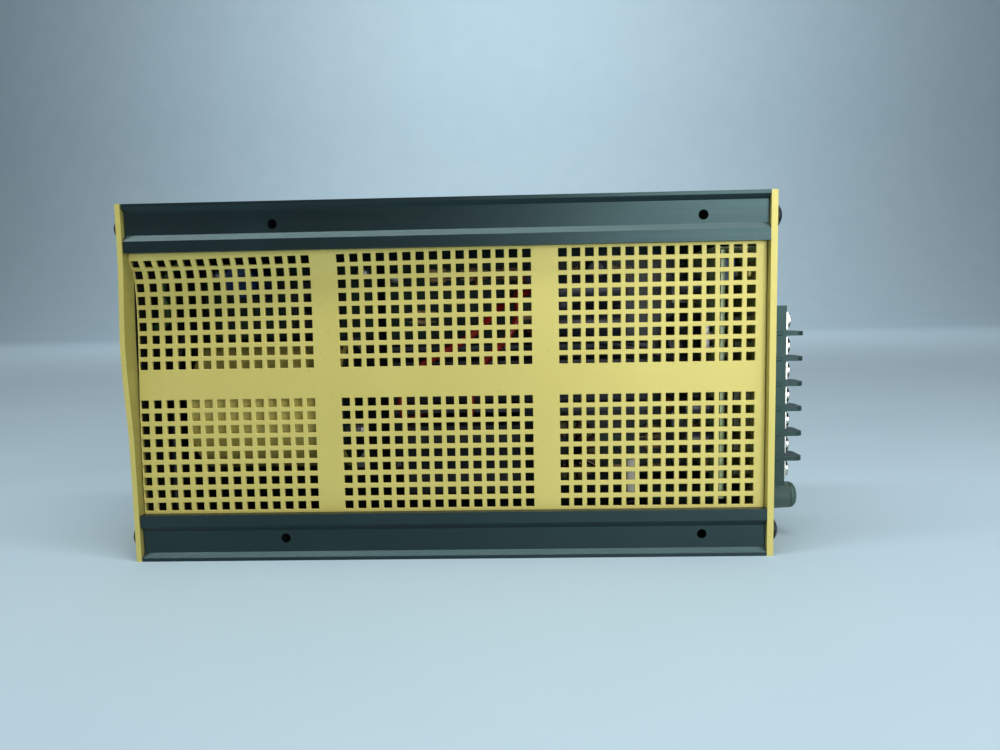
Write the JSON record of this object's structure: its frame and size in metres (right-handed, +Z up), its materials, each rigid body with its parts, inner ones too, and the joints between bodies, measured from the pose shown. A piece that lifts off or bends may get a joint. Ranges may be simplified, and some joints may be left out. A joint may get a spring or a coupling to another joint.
{
  "type": "chassis-mount power supply",
  "caption": "Enclosed power supply between two black side rails, with gold end plates, a perforated cover, a barrier terminal block and a fuse holder.",
  "frame": {"origin": "middle of the bounding box, on the plane the lower rail stands on", "axes": "+X along the rails towards the terminals, +Y from the perforated cover to the back panel, +Z up across the two rails"},
  "size_m": [0.2539, 0.0636, 0.1302],
  "materials": {
    "black_anodised": "matte black anodised extrusion",
    "gold_chromate": "gold finish on sheet aluminium",
    "black_steel": "black oxide steel",
    "black_phenolic": "moulded phenolic",
    "zinc_steel": "zinc plated",
    "tinned_brass": "bright tin plate",
    "nickel_plate": "bright nickel plate",
    "clear_glass": "clear tube",
    "pale_board": "bare laminate seen edge on",
    "blue_plastic": "moulded",
    "white_plastic": "moulded",
    "black_epoxy": "moulded epoxy",
    "blue_sleeve": "shrink sleeve",
    "fish_paper": "calendered sheet",
    "green_board": "solder mask",
    "tan_sleeve": "plastic sleeve on an aluminium can",
    "grey_ferrite": "sintered",
    "yellow_tape": "polyester tape",
    "bare_aluminium": "mill finish",
    "dark_sleeve": "shrink sleeve",
    "olive_powder_core": "painted iron powder",
    "enamelled_copper": "varnished wire",
    "white_ceramic": "cement filled ceramic",
    "red_insulation": "PVC insulation",
    "black_insulation": "PVC insulation",
    "green_insulation": "PVC insulation"
  },
  "bodies": {
    "case": {"rail_top": "black_anodised", "rail_bottom": "black_anodised", "end_plate_left": "gold_chromate", "end_plate_right": "gold_chromate", "end_plate_screws": "black_steel", "perforated_cover": "gold_chromate", "back_panel": "gold_chromate", "terminal_block": "black_phenolic", "terminal_block_screws": "zinc_steel", "terminal_plates": "tinned_brass", "fuse_holder_body": "black_phenolic", "fuse_holder_nut": "zinc_steel", "fuse_holder_lugs": "tinned_brass", "control_board": "pale_board", "control_board_brackets": "zinc_steel", "insulating_sheet": "fish_paper", "voltage_trimmer_body": "blue_plastic", "control_chips": "black_epoxy", "control_capacitors": "blue_sleeve", "main_board": "green_board", "filter_board": "green_board", "board_standoffs": "zinc_steel", "board_screws": "zinc_steel", "bulk_capacitor_can": "tan_sleeve", "bulk_capacitor_header": "black_phenolic", "capacitor_clamp": "zinc_steel", "line_capacitor": "blue_sleeve", "line_choke": "black_epoxy", "transformer_core": "grey_ferrite", "transformer_winding": "yellow_tape", "transformer_strap": "zinc_steel", "heat_sink": "bare_aluminium", "rectifiers": "black_epoxy", "rectifier_screws": "zinc_steel", "output_capacitors": "dark_sleeve", "output_choke_core": "olive_powder_core", "output_choke_winding": "enamelled_copper", "ceramic_resistor": "white_ceramic", "output_leads": "red_insulation", "line_leads": "black_insulation", "ground_lead": "green_insulation"},
    "clamp_1": {"terminal_clamp_1": "nickel_plate"},
    "screw_1": {"terminal_screw_1": "nickel_plate"},
    "clamp_2": {"terminal_clamp_2": "nickel_plate"},
    "screw_2": {"terminal_screw_2": "nickel_plate"},
    "clamp_3": {"terminal_clamp_3": "nickel_plate"},
    "screw_3": {"terminal_screw_3": "nickel_plate"},
    "clamp_4": {"terminal_clamp_4": "nickel_plate"},
    "screw_4": {"terminal_screw_4": "nickel_plate"},
    "clamp_5": {"terminal_clamp_5": "nickel_plate"},
    "screw_5": {"terminal_screw_5": "nickel_plate"},
    "clamp_6": {"terminal_clamp_6": "nickel_plate"},
    "screw_6": {"terminal_screw_6": "nickel_plate"},
    "clamp_7": {"terminal_clamp_7": "nickel_plate"},
    "screw_7": {"terminal_screw_7": "nickel_plate"},
    "fuse": {"fuse_glass": "clear_glass", "fuse_ferrules": "nickel_plate"},
    "cap": {"fuse_cap": "black_phenolic"},
    "trimmer_rotor": {"voltage_trimmer_rotor": "white_plastic"}
  },
  "joints": [
    {"name": "clamp_1_slide", "type": "slide", "parent": "case", "child": "clamp_1", "axis": [1, 0, 0], "range_m": [0, 0.0025]},
    {"name": "screw_1_turn", "type": "hinge", "parent": "clamp_1", "child": "screw_1", "pos_m": [0.1196, -0.0084, 0.08431], "axis": [1, 0, 0], "range_deg": [0, 1134]},
    {"name": "clamp_2_slide", "type": "slide", "parent": "case", "child": "clamp_2", "axis": [1, 0, 0], "range_m": [0, 0.0025]},
    {"name": "screw_2_turn", "type": "hinge", "parent": "clamp_2", "child": "screw_2", "pos_m": [0.1196, -0.0084, 0.07479], "axis": [1, 0, 0], "range_deg": [0, 1134]},
    {"name": "clamp_3_slide", "type": "slide", "parent": "case", "child": "clamp_3", "axis": [1, 0, 0], "range_m": [0, 0.0025]},
    {"name": "screw_3_turn", "type": "hinge", "parent": "clamp_3", "child": "screw_3", "pos_m": [0.1196, -0.0084, 0.06526], "axis": [1, 0, 0], "range_deg": [0, 1134]},
    {"name": "clamp_4_slide", "type": "slide", "parent": "case", "child": "clamp_4", "axis": [1, 0, 0], "range_m": [0, 0.0025]},
    {"name": "screw_4_turn", "type": "hinge", "parent": "clamp_4", "child": "screw_4", "pos_m": [0.1196, -0.0084, 0.05574], "axis": [1, 0, 0], "range_deg": [0, 1134]},
    {"name": "clamp_5_slide", "type": "slide", "parent": "case", "child": "clamp_5", "axis": [1, 0, 0], "range_m": [0, 0.0025]},
    {"name": "screw_5_turn", "type": "hinge", "parent": "clamp_5", "child": "screw_5", "pos_m": [0.1196, -0.0084, 0.04621], "axis": [1, 0, 0], "range_deg": [0, 1134]},
    {"name": "clamp_6_slide", "type": "slide", "parent": "case", "child": "clamp_6", "axis": [1, 0, 0], "range_m": [0, 0.0025]},
    {"name": "screw_6_turn", "type": "hinge", "parent": "clamp_6", "child": "screw_6", "pos_m": [0.1196, -0.0084, 0.03669], "axis": [1, 0, 0], "range_deg": [0, 1134]},
    {"name": "clamp_7_slide", "type": "slide", "parent": "case", "child": "clamp_7", "axis": [1, 0, 0], "range_m": [0, 0.0025]},
    {"name": "screw_7_turn", "type": "hinge", "parent": "clamp_7", "child": "screw_7", "pos_m": [0.1196, -0.0084, 0.02716], "axis": [1, 0, 0], "range_deg": [0, 1134]},
    {"name": "fuse_slide", "type": "slide", "parent": "case", "child": "fuse", "axis": [1, 0, 0], "range_m": [0, 0.04]},
    {"name": "cap_turn", "type": "hinge", "parent": "fuse", "child": "cap", "pos_m": [0.1098, -0.00375, 0.0153], "axis": [1, 0, 0], "range_deg": [0, 90]},
    {"name": "trimmer_turn", "type": "hinge", "parent": "case", "child": "trimmer_rotor", "pos_m": [0.1009, -0.0084, 0.103], "axis": [1, 0, 0], "range_deg": [-135, 135]}
  ],
  "couplings": [
    {"joint": "screw_1_turn", "follows": "clamp_1_slide", "rad_per_m": 7915.8},
    {"joint": "screw_2_turn", "follows": "clamp_2_slide", "rad_per_m": 7915.8},
    {"joint": "screw_3_turn", "follows": "clamp_3_slide", "rad_per_m": 7915.8},
    {"joint": "screw_4_turn", "follows": "clamp_4_slide", "rad_per_m": 7915.8},
    {"joint": "screw_5_turn", "follows": "clamp_5_slide", "rad_per_m": 7915.8},
    {"joint": "screw_6_turn", "follows": "clamp_6_slide", "rad_per_m": 7915.8},
    {"joint": "screw_7_turn", "follows": "clamp_7_slide", "rad_per_m": 7915.8}
  ]
}
